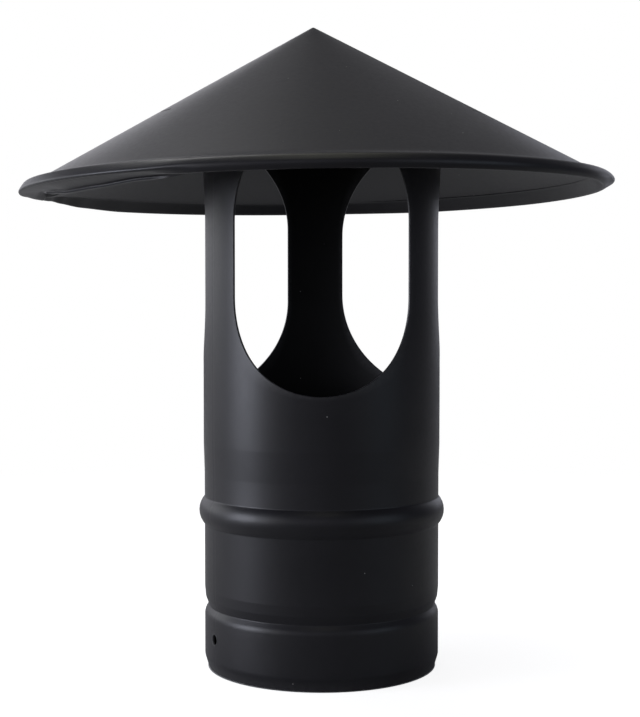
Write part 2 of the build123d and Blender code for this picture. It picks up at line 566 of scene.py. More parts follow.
@dataclass
class RolledPipe:
    """The pipe: a flat sheet with windows, rolled up, with its bead and groove.

    The turns of the wall below the windows are pairs of a height and a bending
    radius; the groove's own corners have their radius in front.
    """

    sizes: CapSizes
    finish: BlackEnamel
    inside: BlackEnamel
    panel_foot: float = 85.0
    arc_steps: int = 32
    side_steps: int = 10
    ring_cuts: int = 5
    corner_share: float = 0.4
    seam_half: float = 1.6
    seam_relief: tuple[float, ...] = (0.0, 0.01, -0.05, 0.01, 0.0, 0.0)
    neck_top: Point = (76.0, 10.0)
    neck_foot: Point = (66.0, 10.0)
    bead_height: float = 53.2
    bead_rise: float = 1.87
    bead_half: float = 4.6
    bead_bend: float = 0.9
    bead_steps: int = 8
    groove_top: Point = (27.2, 5.0)
    groove: tuple[Corner, ...] = ((39.68, 23.8, 1.2), (38.65, 21.0, 0.5))
    groove_foot: Point = (18.8, 4.0)
    edge_turn: Point = (4.0, 5.0)
    edge_radius: float = 38.8
    edge_round: float = 0.22
    hole_patch: float = 3.4
    patch_steps: int = 5
    hole_cuts: int = 3
    burr: float = 0.15
    burr_reach: float = 2.6

    def along(self, angle: float) -> float:
        """Distance along the flat sheet for an angle round the pipe."""
        return self.sizes.body_radius * radians(angle)

    def windows(self) -> list[Window]:
        """The three windows with the panels between the straps' middles.

        Returns:
            Windows whose numbers are distances along the flat sheet.
        """
        side, rear = self.sizes.side_strap / 2, self.sizes.rear_strap / 2
        left, right = self.along(Side.LEFT.value), self.along(Side.RIGHT.value)
        back, seam = self.along(Side.REAR.value), self.along(self.sizes.seam_angle)
        turn = self.along(360)
        return [
            Window(back - turn + rear, left - side, back - turn, seam - self.seam_half),
            Window(left + side, right - side, seam + self.seam_half, right),
            Window(right + side, back - rear, right, back),
        ]

    def loop_places(self, window: Window) -> list[tuple[Vector, Vector]]:
        """Places of the window's edge and of the panel's edge, step by step.

        Args:
            window: the window to go round.

        Returns:
            Pairs of a point on the window's edge and its partner on the panel's edge.
        """
        top, foot = self.sizes.pipe_height, self.panel_foot
        half = (window.end - window.start) / 2
        middle = (window.start + window.end) / 2
        high = self.sizes.window_top - half
        low = self.sizes.window_bottom + half
        outer_high = mix(foot, top, 1 - self.corner_share)
        outer_low = mix(foot, top, self.corner_share)
        pairs = []
        for quarter in range(4):
            upper, left, leads_to_side = quarter < 2, quarter in (1, 2), quarter in (1, 3)
            centre, outer_centre = (high, outer_high) if upper else (low, outer_low)
            edge_level = top if upper else foot
            edge_side = window.panel_start if left else window.panel_end
            for step in range(self.arc_steps):
                turn = (quarter + step / self.arc_steps) * pi / 2
                inner = Vector((middle + half * cos(turn), 0, centre + half * sin(turn)))
                way = 2 * step / self.arc_steps
                if leads_to_side:
                    way = 2 - way
                if way <= 1:
                    outer = Vector((edge_side, 0, mix(outer_centre, edge_level, way)))
                else:
                    outer = Vector((mix(edge_side, middle, way - 1), 0, edge_level))
                pairs.append((inner, outer))
            if leads_to_side:
                x = window.start if left else window.end
                stop, outer_stop = (low, outer_low) if upper else (high, outer_high)
                for step in range(self.side_steps):
                    share = step / self.side_steps
                    inner = Vector((x, 0, mix(centre, stop, share)))
                    outer = Vector((edge_side, 0, mix(outer_centre, outer_stop, share)))
                    pairs.append((inner, outer))
        return pairs

    def add_panel(self, mesh: BMesh, window: Window) -> None:
        """Make one window's edge and grow the panel round it.

        Args:
            mesh: the flat sheet.
            window: the window to make.
        """
        pairs = self.loop_places(window)
        ring = bmesh.ops.create_circle(mesh, cap_ends=False, radius=1, segments=len(pairs))
        partner = {}
        for vert, (inner, outer) in zip(ring["verts"], pairs):
            vert.co = inner
            partner[vert] = outer
        edges = unique(edge for vert in ring["verts"] for edge in vert.link_edges)
        extrude_row(mesh, edges, lambda vert: partner[vert])
        spokes = [
            edge
            for vert in ring["verts"]
            for edge in vert.link_edges
            if edge.other_vert(vert) not in partner
        ]
        bmesh.ops.subdivide_edges(mesh, edges=spokes, cuts=self.ring_cuts)

    def add_seam(self, mesh: BMesh) -> None:
        """Grow the narrow strip of the pipe's long seam between two panels.

        Args:
            mesh: the flat sheet with its panels.
        """
        start = self.along(self.sizes.seam_angle) + self.seam_half
        width = 2 * self.seam_half / len(self.seam_relief)
        line = [
            edge
            for edge in mesh.edges
            if all(abs(vert.co.x - start) < NEAR for vert in edge.verts)
        ]
        for relief in self.seam_relief:
            step = Vector((-width, 0, 0))
            line = extrude_row(
                mesh, line, lambda vert: Vector((vert.co.x, relief, vert.co.z)) + step
            )
        bmesh.ops.remove_doubles(mesh, verts=mesh.verts, dist=MERGE)

    def wall_line(self) -> list[Point]:
        """Outside line of the wall from the panels' foot down to the bottom edge.

        Returns:
            Radius and height of each row.
        """
        spigot, body = self.sizes.spigot_radius, self.sizes.body_radius
        bow = (self.bead_half**2 + self.bead_rise**2) / (2 * self.bead_rise)
        reach = atan(self.bead_half / (bow - self.bead_rise))
        bead = []
        for step in range(1, self.bead_steps):
            turn = mix(reach, -reach, step / self.bead_steps)
            radius = spigot + self.bead_rise - bow * (1 - cos(turn))
            bead.append((radius, self.bead_height + bow * sin(turn), 0.0))
        patch = []
        for step in range(self.patch_steps + 1):
            rise = mix(self.hole_patch, -self.hole_patch, step / self.patch_steps)
            patch.append((spigot, self.sizes.hole_height + rise, 0.0))
        corners = [
            (body, self.panel_foot, 0.0),
            (body, *self.neck_top),
            (spigot, *self.neck_foot),
            (spigot, self.bead_height + self.bead_half, self.bead_bend),
            *bead,
            (spigot, self.bead_height - self.bead_half, self.bead_bend),
            (spigot, *self.groove_top),
            *self.groove,
            (spigot, *self.groove_foot),
            *patch,
            (spigot, *self.edge_turn),
            (self.edge_radius, 0.0, 0.0),
        ]
        return rounded_line(corners)

    def add_lower_rows(self, mesh: BMesh) -> None:
        """Grow the sheet down from the panels' foot along the wall's line.

        Args:
            mesh: the flat sheet with its panels and its seam.
        """
        line = [
            edge
            for edge in mesh.edges
            if all(abs(vert.co.z - self.panel_foot) < NEAR for vert in edge.verts)
        ]
        seam = self.along(self.sizes.seam_angle)
        width = 2 * self.seam_half / len(self.seam_relief)
        for radius, height in self.wall_line()[1:]:

            def place(vert: BMVert) -> Vector:
                """Keep the column, take the row's radius and height.

                Args:
                    vert: the vertex of the row above.

                Returns:
                    The place of its new neighbour.
                """
                column = round((seam + self.seam_half - vert.co.x) / width)
                relief = 0.0
                if 1 <= column <= len(self.seam_relief):
                    relief = self.seam_relief[column - 1]
                return Vector((vert.co.x, radius - self.sizes.body_radius + relief, height))

            line = extrude_row(mesh, line, place)

    def pierce_hole(self, mesh: BMesh) -> None:
        """Open the small round hole on the seam and raise a burr round it.

        Args:
            mesh: the flat sheet, complete.
        """
        seam, height = self.along(self.sizes.seam_angle), self.sizes.hole_height
        cut = []
        for face in mesh.faces:
            spot = face.calc_center_median()
            if abs(spot.z - height) < self.hole_patch and abs(spot.x - seam) < self.hole_patch:
                cut.append(face)
        rim = unique(edge for face in cut for edge in face.edges)
        bmesh.ops.delete(mesh, geom=cut, context="FACES")
        rim = [edge for edge in rim if edge.is_valid and edge.is_boundary]
        span = max(abs(vert.co.x - seam) for edge in rim for vert in edge.verts)

        def place(vert: BMVert) -> Vector:
            """Find the place on the hole's edge for a vertex of the square patch.

            Args:
                vert: the vertex on the patch's edge.

            Returns:
                The place of its new neighbour.
            """
            turn = atan2((vert.co.z - height) / self.hole_patch, (vert.co.x - seam) / span)
            reach = self.sizes.hole_radius
            level = self.sizes.spigot_radius - self.sizes.body_radius + self.burr
            return Vector((seam + reach * cos(turn), level, height + reach * sin(turn)))

        ring = extrude_row(mesh, rim, place)
        inner = unique(vert for edge in ring for vert in edge.verts)
        spokes = unique(
            edge
            for vert in inner
            for edge in vert.link_edges
            if edge.other_vert(vert) not in inner
        )
        bmesh.ops.subdivide_edges(mesh, edges=spokes, cuts=self.hole_cuts)
        for vert in mesh.verts:
            reach = hypot(vert.co.x - seam, vert.co.z - height)
            if reach < span:
                rise = self.burr * (1 - ease(reach, self.sizes.hole_radius, self.burr_reach))
                vert.co.y = self.sizes.spigot_radius - self.sizes.body_radius + rise

    def roll(self, mesh: BMesh) -> None:
        """Roll the flat sheet up and close it.

        Args:
            mesh: the flat sheet, turned into the pipe in metres.
        """
        for vert in mesh.verts:
            turn = vert.co.x / self.sizes.body_radius
            radius = self.sizes.body_radius + vert.co.y
            vert.co = Vector((radius * sin(turn), -radius * cos(turn), vert.co.z)) * MM
        bmesh.ops.remove_doubles(mesh, verts=mesh.verts, dist=2 * MERGE * MM)
        point_outwards(mesh, away_from_axis)

    def build(self) -> bpy.types.Object:
        """Make the pipe.

        Returns:
            The finished piece.
        """
        mesh = bmesh.new()
        for window in self.windows():
            self.add_panel(mesh, window)
        bmesh.ops.remove_doubles(mesh, verts=mesh.verts, dist=MERGE)
        self.add_seam(mesh)
        self.add_lower_rows(mesh)
        self.pierce_hole(mesh)
        self.roll(mesh)
        piece = finish_piece("pipe", mesh, self.finish, ["pipe_body"])
        give_wall(piece, self.sizes.pipe_wall, self.edge_round, self.inside)
        return piece


@dataclass
class RainHat:
    """The hat: one cone of sheet, lapped on itself, with a rolled rim.

    The rim is rolled shut all round, apart from the stretch in front of the lap,
    where it was only folded and its lip hangs free. Each section of the rim is a
    chain of runs, pairs of a length and the degrees that it turns. The brow, nose
    and heel of the rolled one scale with the roll, and the nose and the heel are
    given by their bending radius. One section goes over into the next between
    two angles round the hat.
    """

    sizes: CapSizes
    finish: BlackEnamel
    sectors: int = 81
    sector_columns: int = 8
    cone_radii: tuple[float, ...] = (4.0, 9.0, 14.0, 24.0, 40.0, 56.0, 72.0, 84.0, 91.0)
    past_tip: float = 3.0
    tip_round: float = 1.0
    tip_rows: int = 4
    crease_radius: float = 94.1
    crease_bend: float = 8.0
    hem_start: float = 2.1
    hem_rows: tuple[tuple[float, int], ...] = (
        (0.1, 2), (0.34, 9), (0.5, 11), (0.68, 10), (0.8, 5), (0.93, 3), (1.0, 6),
    )
    fine_step: float = 0.002
    shoulder_tilt: float = 5.0
    brow: Point = (3.85, 48.0)
    nose: Point = (0.8, 97.0)
    belly: float = 3.0
    heel: Point = (0.9, 88.0)
    inner_run: float = 4.0
    tail: Point = (1.2, -29.0)
    shortest: float = 0.05
    tightest: float = 0.75
    front: Runs = (
        (0.45, 0.0), (1.6, 25.0), (0.8, 25.0), (1.0, 8.0), (2.0, 50.0), (0.5, 0.0),
        (1.06, 87.0), (3.0, 0.0), (1.2, -29.0),
    )
    front_ends: Point = (58.0, 80.0)
    fold_begins: Point = (-96.0, -78.0)
    fold_ends: Point = (-31.0, -18.0)
    fold_brow: Runs = ((1.0, 0.0), (0.6, 45.0), (2.6, 10.0))
    fold_radius: float = 0.65
    lip: float = 6.3
    lip_edge_radius: float = 0.25
    lip_edge_turn: float = 95.0
    lip_edge: float = 0.55
    lip_edge_begins: Point = (-76.0, -66.0)
    lip_droops: tuple[Point, ...] = (
        (-97, -20), (-80, -9), (-70, 2), (-61, 12), (-53, 20), (-44, 17), (-32, 7.5), (-24, 4.5),
    )
    roll_sizes: tuple[Point, ...] = (
        (-97, 0.45), (-78, 0.9), (-20, 0.96), (0, 1.0), (93, 1.0), (127, 1.05), (150, 1.05),
        (180, 0.93), (231, 0.93), (244, 0.74), (252, 0.48), (258, 0.24), (263, 0.12),
    )
    pucker_depth: float = 0.3
    pucker_columns: int = 3
    pucker_ends: Point = (-42.0, -26.0)
    pucker_rise: Point = (0.36, 0.43)
    pucker_fall: Point = (0.46, 0.53)
    lap_start: float = 9.0
    lap_sink: float = 0.86
    lap_steps: int = 5
    joggle: float = 15.0
    joggle_start: float = 4.0
    slide_reach: float = 30.0
    slide_start: float = 2.0
    edge_round: float = 0.2
    clear_of_rim: float = 3.0

    @property
    def columns(self) -> int:
        """Number of steps round the hat."""
        return self.sectors * self.sector_columns

    @property
    def crease_height(self) -> float:
        """Height where the cone turns into the rim's shoulder."""
        return self.sizes.apex_height - self.crease_radius * tan(self.sizes.cone_angle)

    def azimuth(self, column: int) -> float:
        """Angle round the hat of a column, counted on from the lap."""
        return self.sizes.lap_angle + 360.0 * column / self.columns

    def cone_rows(self) -> list[Point]:
        """Radius and height of the rows from the point to just past the crease.

        Returns:
            The rows in the hat's own frame.
        """
        top, rim = self.sizes.apex_height, self.crease_height
        slope = tan(self.sizes.cone_angle)
        crease = self.crease_radius
        corners = [(-self.past_tip, top - self.past_tip * slope, 0.0), (0.0, top, self.tip_round)]
        corners += [(radius, top - radius * slope, 0.0) for radius in self.cone_radii]
        corners += [(crease, rim, self.crease_bend), (crease + self.hem_start, rim, 0.0)]
        return [point for point in rounded_line(corners) if point[0] > -NEAR]

    def hem_shares(self) -> list[float]:
        """How far along the hem each of its rows lies, closer together at the fold.

        Returns:
            A number from 0 to 1 for each row after the cone's.
        """
        shares, begin = [], 0.0
        for stop, count in self.hem_rows:
            shares += [mix(begin, stop, (step + 1) / count) for step in range(count)]
            begin = stop
        return shares

    def rolled(self, column: int) -> Runs:
        """The rim's section where it is rolled shut.

        Args:
            column: steps round the hat from the lap.

        Returns:
            Its runs.
        """
        size = read_curve(self.roll_sizes, self.azimuth(column))
        tuck = self.lap_sink * self.near_end(column)
        nose, heel = (max(size * radius, self.tightest) for radius in (self.nose[0], self.heel[0]))
        return (
            (max(self.brow[0] * (1 - size) - tuck, self.shortest), 0.0),
            (self.brow[0] * size, self.brow[1]),
            (nose * radians(self.nose[1]), self.nose[1]),
            (self.belly * size, 0.0),
            (heel * radians(self.heel[1]), self.heel[1]),
            (self.inner_run * size, 0.0),
            self.tail,
        )

    def folded(self, column: int) -> Runs:
        """The rim's section where it was only folded and its lip hangs free.

        Args:
            column: steps round the hat from the lap.

        Returns:
            Its runs.
        """
        azimuth = self.azimuth(column)
        fold = 180 - read_curve(self.lip_droops, azimuth) - self.shoulder_tilt
        fold -= sum(turn for _, turn in self.fold_brow)
        bent = self.lip_edge_turn * ease(azimuth, *self.lip_edge_begins)
        return (
            *self.fold_brow,
            (self.fold_radius * radians(fold), fold),
            (self.lip, 0.0),
            (self.lip_edge_radius * radians(self.lip_edge_turn), -bent),
            (self.lip_edge, 0.0),
        )

    def hem_line(self, column: int) -> list[Point]:
        """The hem's section at one column.

        Args:
            column: steps round the hat from the lap.

        Returns:
            Radius and height of each row after the cone's.
        """
        azimuth = self.azimuth(column)
        opened = ease(azimuth, *self.fold_begins) - ease(azimuth, *self.fold_ends)
        front = ease(azimuth, *self.fold_ends) - ease(azimuth, *self.front_ends)
        parts = (
            (1 - opened - front, self.rolled(column)),
            (front, self.front),
            (opened, self.folded(column)),
        )
        stride = sum(part * sum(run for run, _ in runs) for part, runs in parts) * self.fine_step
        radius, height, share = self.crease_radius + self.hem_start, self.crease_height, 0.0
        points = []
        for stop in self.hem_shares():
            while share < stop - self.fine_step / 2:
                middle = share + self.fine_step / 2
                heading = sum(part * self.turned(runs, middle) for part, runs in parts)
                heading += radians(self.shoulder_tilt)
                radius += stride * cos(heading)
                height -= stride * sin(heading)
                share += self.fine_step
            points.append((radius, height))
        return points

    @staticmethod
    def turned(runs: Runs, share: float) -> float:
        """How far a chain of runs has turned, in radians, a share of the way along.

        Args:
            runs: length and turn in degrees of each run.
            share: from 0 at the start to 1 at the end.

        Returns:
            The turn so far.
        """
        rest = share * sum(run for run, _ in runs)
        total = 0.0
        for run, turn in runs:
            total += radians(turn) * min(max(rest / run, 0.0), 1.0)
            rest -= run
        return total

    def near_end(self, column: int) -> float:
        """How near a column is to the end that lies under the lap, from 0 to 1."""
        step = 2 * pi * self.crease_radius / self.columns
        return 1 - ease((self.columns - column) * step, 0.0, self.joggle)

    def spot(self, column: int, radius: float, height: float) -> Vector:
        """Place of a point of the sheet, with the lap's slide and joggle.

        Args:
            column: steps round the hat from the lap.
            radius: distance from the hat's axis.
            height: height before the joggle.

        Returns:
            The place in the hat's own frame.
        """
        step = 2 * pi * radius / self.columns
        to_lap = min(column, self.columns - column) * step
        slide = self.sizes.lap_width / 2 * (1 - ease(to_lap, 0.0, self.slide_reach))
        slide *= ease(radius, self.slide_start, self.lap_start)
        angle = radians(self.azimuth(column)) - slide / max(radius, 1.0)
        sink = 1 - ease((self.columns - column) * step, 0.0, self.joggle)
        sink *= self.lap_sink * ease(radius, self.joggle_start, self.lap_start)
        return Vector((radius * sin(angle), -radius * cos(angle), height - sink))

    def pucker(self, column: int, share: float) -> float:
        """How far the fold is dented in at a column.

        Args:
            column: steps round the hat from the lap.
            share: how far along the hem.

        Returns:
            Depth of the dent in millimetres.
        """
        if column % self.pucker_columns:
            return 0.0
        opened = 1 - ease(self.azimuth(column), *self.pucker_ends)
        along = ease(share, *self.pucker_rise) * (1 - ease(share, *self.pucker_fall))
        return self.pucker_depth * opened * along

    def spin_sheet(self, mesh: BMesh) -> tuple[set[BMVert], set[BMVert]]:
        """Spin the section once round from the lap to the lap.

        Args:
            mesh: an empty mesh.

        Returns:
            The vertices of the first and of the last column.
        """
        row_of = mesh.verts.layers.int.new("row")
        rows = self.cone_rows() + self.hem_line(0)
        turn = Matrix.Rotation(radians(self.sizes.lap_angle), 4, "Z")
        first = [mesh.verts.new(turn @ Vector((0, -radius, height))) for radius, height in rows]
        for number, vert in enumerate(first):
            vert[row_of] = number
        edges = [mesh.edges.new(pair) for pair in zip(first, first[1:])]
        spun = bmesh.ops.spin(
            mesh,
            geom=first + edges,
            cent=(0, 0, 0),
            axis=(0, 0, 1),
            angle=2 * pi,
            steps=self.sectors,
            use_merge=False,
        )
        last = {item for item in spun["geom_last"] if isinstance(item, BMVert)}
        rings = [edge for edge in mesh.edges if len({vert[row_of] for vert in edge.verts}) == 1]
        bmesh.ops.subdivide_edges(mesh, edges=rings, cuts=self.sector_columns - 1)
        return set(first), last

    def shape_sheet(self, mesh: BMesh, first: set[BMVert], last: set[BMVert]) -> None:
        """Put every vertex on the section of its own column.

        Args:
            mesh: the spun sheet.
            first: vertices of the first column.
            last: vertices of the last column.
        """
        row_of = mesh.verts.layers.int["row"]
        cone = self.cone_rows()
        shares = [0.0] * len(cone) + self.hem_shares()
        lines = [cone + self.hem_line(column) for column in range(self.columns + 1)]
        for vert in mesh.verts:
            angle = atan2(vert.co.x, -vert.co.y) - radians(self.sizes.lap_angle)
            column = round(angle / (2 * pi) * self.columns) % self.columns
            if vert in first:
                column = 0
            elif vert in last:
                column = self.columns
            row = vert[row_of]
            radius, height = lines[column][row]
            radius -= self.pucker(column, shares[row])
            vert.co = self.spot(column, radius, height)

    def add_under_layer(self, mesh: BMesh, last: set[BMVert]) -> None:
        """Let the sheet's end run on under the lap, as a strip of even width.

        Args:
            mesh: the shaped sheet.
            last: vertices of the last column.
        """
        row_of = mesh.verts.layers.int["row"]
        rows = self.cone_rows()
        lap_start = self.lap_start - NEAR
        begin = min(row for row, (radius, _) in enumerate(rows) if radius >= lap_start)
        stop = len(rows) + self.hem_rows[0][1]
        line = [
            edge
            for edge in mesh.edges
            if all(vert in last and begin <= vert[row_of] <= stop for vert in edge.verts)
        ]
        lap = Matrix.Rotation(radians(self.sizes.lap_angle), 4, "Z")
        step = lap @ Vector((self.sizes.lap_width / self.lap_steps, 0, 0))
        crease, slope = self.crease_radius, tan(self.sizes.cone_angle)

        def place(vert: BMVert) -> Vector:
            """Take one step across the lap, staying on the cone.

            Args:
                vert: the vertex to step from.

            Returns:
                The place of its new neighbour.
            """
            spot = vert.co + step
            before, after = hypot(vert.co.x, vert.co.y), hypot(spot.x, spot.y)
            if after < crease:
                spot.z -= (after - before) * slope
            return spot

        for _ in range(self.lap_steps):
            line = extrude_row(mesh, line, place)

    def build(self) -> bpy.types.Object:
        """Make the hat.

        Returns:
            The finished piece.
        """
        mesh = bmesh.new()
        first, last = self.spin_sheet(mesh)
        self.shape_sheet(mesh, first, last)
        self.add_under_layer(mesh, last)
        row_of = mesh.verts.layers.int["row"]
        tip = [vert for vert in mesh.verts if vert[row_of] < self.tip_rows]
        bmesh.ops.remove_doubles(mesh, verts=tip, dist=NEAR)
        bmesh.ops.transform(mesh, matrix=self.sizes.hat_place, verts=mesh.verts)
        bmesh.ops.scale(mesh, vec=(MM, MM, MM), verts=mesh.verts)
        point_outwards(mesh, self.facing)
        piece = finish_piece("hat", mesh, self.finish, ["hat_shell"])
        give_wall(piece, self.sizes.hat_wall, self.edge_round)
        return piece

    def facing(self, point: Vector) -> Vector:
        """Which way the cone faces: up; the hem isn't asked."""
        on_cone = point.z > (self.sizes.rim_top + self.clear_of_rim) * MM
        return Vector((0, 0, 1 if on_cone else 0))


@dataclass
class WeldBead:
    """A rippled bead of weld metal laid along a line, its ends tapered."""

    radius: float
    ripple: float = 0.1
    pitch: float = 1.2
    taper: float = 1.0
    blunt: float = 0.2
    sides: int = 10

    def size_at(self, place: float, length: float) -> float:
        """Radius of the bead some way along it.

        Args:
            place: distance from the bead's start.
            length: the bead's length.

        Returns:
            The radius in millimetres.
        """
        to_end = min(place, length - place)
        end = sqrt(max(1 - (1 - min(to_end / self.taper, 1.0)) ** 2, self.blunt**2))
        wave = abs(sin(pi * place / self.pitch))
        return end * (self.radius - self.ripple * (1 - wave))

    def add(
        self,
        mesh: BMesh,
        line: Sequence[Vector],
        across: Callable[[Vector], Vector],
        flat: float = 1.0,
    ) -> None:
        """Lay the bead along a line of points.

        Args:
            mesh: the mesh to add to, in millimetres.
            line: the bead's middle line.
            across: gives the direction out of the surface at a point.
            flat: height of the bead as a share of its half width.
        """
        lengths = [0.0]
        for before, after in zip(line, line[1:]):
            lengths.append(lengths[-1] + (after - before).length)
        side_of = mesh.verts.layers.int.get("side") or mesh.verts.layers.int.new("side")
        ring = bmesh.ops.create_circle(mesh, cap_ends=True, radius=1.0, segments=self.sides)
        edges: list[BMEdge] = []
        for number, point in enumerate(line):
            ahead = line[min(number + 1, len(line) - 1)] - line[max(number - 1, 0)]
            out = across(point)
            aside = ahead.cross(out).normalized()
            size = self.size_at(lengths[number], lengths[-1])

            def place(vert: BMVert) -> Vector:
                """Place of one vertex of this ring."""
                turn = 2 * pi * vert[side_of] / self.sides
                return point + (aside * cos(turn) + out * flat * sin(turn)) * size

            if number == 0:
                for side, vert in enumerate(ring["verts"]):
                    vert[side_of] = side
                    vert.co = place(vert)
                edges = unique(edge for vert in ring["verts"] for edge in vert.link_edges)
            else:
                edges = extrude_row(mesh, edges, place)
        bmesh.ops.contextual_create(mesh, geom=edges)


@dataclass
class PipeSeamWeld:
    """The low weld that runs up the inside of the pipe, broken by the small hole."""

    pipe: RolledPipe
    finish: BlackEnamel
    half_width: float = 1.2
    rise: float = 0.35
    end_gap: float = 1.5
    hole_gap: float = 0.3
    step: float = 0.4
    ripple: float = 0.12
    pitch: float = 1.6
    steepest: float = 1.6

    def wall_at(self, height: float) -> float:
        """Radius of the pipe's inner face at a height.

        Args:
            height: the height in millimetres.

        Returns:
            The radius in millimetres.
        """
        rows = self.pipe.wall_line()
        for (upper, top), (lower, foot) in zip(rows, rows[1:]):
            if foot <= height <= top:
                rise = max(top - foot, NEAR)
                share = (height - foot) / rise
                slope = hypot(upper - lower, top - foot) / rise
                wall = self.pipe.sizes.pipe_wall * min(slope, self.steepest)
                return mix(lower, upper, share) - wall
        return self.pipe.sizes.body_radius - self.pipe.sizes.pipe_wall

    def build(self) -> bpy.types.Object:
        """Make both stretches of the weld.

        Returns:
            The finished piece.
        """
        sizes = self.pipe.sizes
        hole = sizes.hole_radius + self.hole_gap
        stretches = (
            (self.end_gap, sizes.hole_height - hole),
            (sizes.hole_height + hole, sizes.pipe_height - self.end_gap),
        )
        turn = Matrix.Rotation(radians(sizes.seam_angle), 4, "Z")
        bead = WeldBead(self.half_width, ripple=self.ripple, pitch=self.pitch)
        mesh = bmesh.new()
        for foot, top in stretches:
            count = round((top - foot) / self.step)
            heights = [mix(foot, top, number / count) for number in range(count + 1)]
            line = [turn @ Vector((0, -self.wall_at(height), height)) for height in heights]
            bead.add(mesh, line, lambda point: -away_from_axis(point), self.rise / self.half_width)
        return finish_solid("pipe_seam_bead", mesh, self.finish, ["pipe_seam_weld"])


@dataclass
class HatSeamSpots:
    """Spot welds in a row along the inside of the hat's lap."""

    sizes: CapSizes
    finish: BlackEnamel
    count: int = 6
    start: float = 20.0
    end: float = 84.0
    sides: int = 24
    section: tuple[Point, ...] = (
        (0.0, 0.34), (0.6, 0.33), (0.95, 0.24), (1.2, 0.19), (1.45, 0.27), (1.75, 0.22),
        (2.05, 0.05), (2.2, -0.12), (0.0, -0.12),
    )

    def build(self) -> bpy.types.Object:
        """Make the spots.

        Returns:
            The finished piece.
        """
        mesh = bmesh.new()
        slope = self.sizes.cone_angle
        lap = Matrix.Rotation(radians(self.sizes.lap_angle), 4, "Z")
        for number in range(self.count):
            radius = mix(self.start, self.end, number / (self.count - 1))
            height = self.sizes.apex_height - radius * tan(slope) - 2 * self.sizes.sheet_drop
            verts = [mesh.verts.new((across, 0, rise)) for across, rise in self.section]
            edges = [mesh.edges.new(pair) for pair in zip(verts, verts[1:])]
            bmesh.ops.spin(
                mesh,
                geom=verts + edges,
                cent=(0, 0, 0),
                axis=(0, 0, 1),
                angle=2 * pi,
                steps=self.sides,
                use_merge=True,
            )
            fresh = [vert for vert in mesh.verts if not vert.tag]
            facing = Vector((0, sin(slope), -cos(slope))).to_track_quat("Z", "Y")
            seat = Matrix.Translation((0, -radius, height)) @ facing.to_matrix().to_4x4()
            bmesh.ops.transform(mesh, matrix=self.sizes.hat_place @ lap @ seat, verts=fresh)
            for vert in fresh:
                vert.tag = True
        bmesh.ops.remove_doubles(mesh, verts=mesh.verts, dist=NEAR)
        return finish_solid("hat_seam_nuggets", mesh, self.finish, ["hat_seam_spots"])


@dataclass
class CarrierTab:
    """A bent tab that joins the pipe's top ring to the underside of the hat."""

    sizes: CapSizes
    finish: BlackEnamel
    side: Side
    width: float = 13.0
    thickness: float = 1.5
    bend: float = 2.3
    bend_steps: int = 8
    across: int = 8
    edge_round: float = 0.3

    def spot(self, radius: float, side: float, height: float) -> Vector:
        """Turn a place in the tab's own frame to its angle round the pipe."""
        turn = Matrix.Rotation(radians(self.side.value), 4, "Z")
        return turn @ Vector((side, -radius, height))

    def facing(self, point: Vector) -> Vector:
        """Which way the leg and the arm face: to the pipe and to the hat."""
        on_leg = hypot(point.x, point.y) < (self.sizes.body_radius + self.bend) * MM
        return -away_from_axis(point) if on_leg else Vector((0, 0, 1))

    def section(self) -> list[Point]:
        """Line of the face that lies on the pipe and on the hat.

        Returns:
            Radius and height of each row.
        """
        inner, outer = self.sizes.body_radius, self.sizes.tab_reach
        top, end = self.spot(inner, 0, 0), self.spot(outer, 0, 0)
        corners = [
            (inner, self.sizes.tab_foot, 0.0),
            (inner, self.sizes.below_hat(top.x, top.y), self.bend),
            (outer, self.sizes.below_hat(end.x, end.y), 0.0),
        ]
        return rounded_line(corners, self.bend_steps)

    def build(self) -> bpy.types.Object:
        """Make the tab.

        Returns:
            The finished piece.
        """
        mesh = bmesh.new()
        section = self.section()
        half = self.width / 2
        steps = [mix(-half, half, step / self.across) for step in range(self.across + 1)]
        side_of = mesh.verts.layers.float.new("side")
        row = [mesh.verts.new((side, 0, 0)) for side in steps]
        line = [mesh.edges.new(pair) for pair in zip(row, row[1:])]
        for vert, side in zip(row, steps):
            vert[side_of] = side
        inner = self.sizes.body_radius

        def place(vert: BMVert, radius: float, height: float) -> Vector:
            """Bow a row to the pipe on the leg and to the cone on the arm.

            Args:
                vert: a vertex of the same column.
                radius: the row's distance from the pipe's axis.
                height: the row's height.

            Returns:
                The place in the row.
            """
            side = vert[side_of]
            if radius <= inner + NEAR:
                bow = sqrt(inner**2 - side**2)
                return self.spot(bow, side, height)
            share = ease(radius, inner, inner + self.bend)
            depth = mix(sqrt(inner**2 - side**2) - inner, 0.0, share) + radius
            spot = self.spot(depth, side, height)
            middle = self.spot(radius, 0, height)
            level = self.sizes.below_hat(spot.x, spot.y)
            drop = self.sizes.below_hat(middle.x, middle.y)
            spot.z += (level - drop) * share
            return spot

        for vert in row:
            vert.co = place(vert, *section[0])
        for radius, height in section[1:]:
            line = extrude_row(mesh, line, lambda vert: place(vert, radius, height))
        bmesh.ops.scale(mesh, vec=(MM, MM, MM), verts=mesh.verts)
        point_outwards(mesh, self.facing)
        node = "tab_" + self.side.name.lower()
        piece = finish_piece("carrier_" + node, mesh, self.finish, [node])
        give_wall(piece, self.thickness, self.edge_round)
        return piece


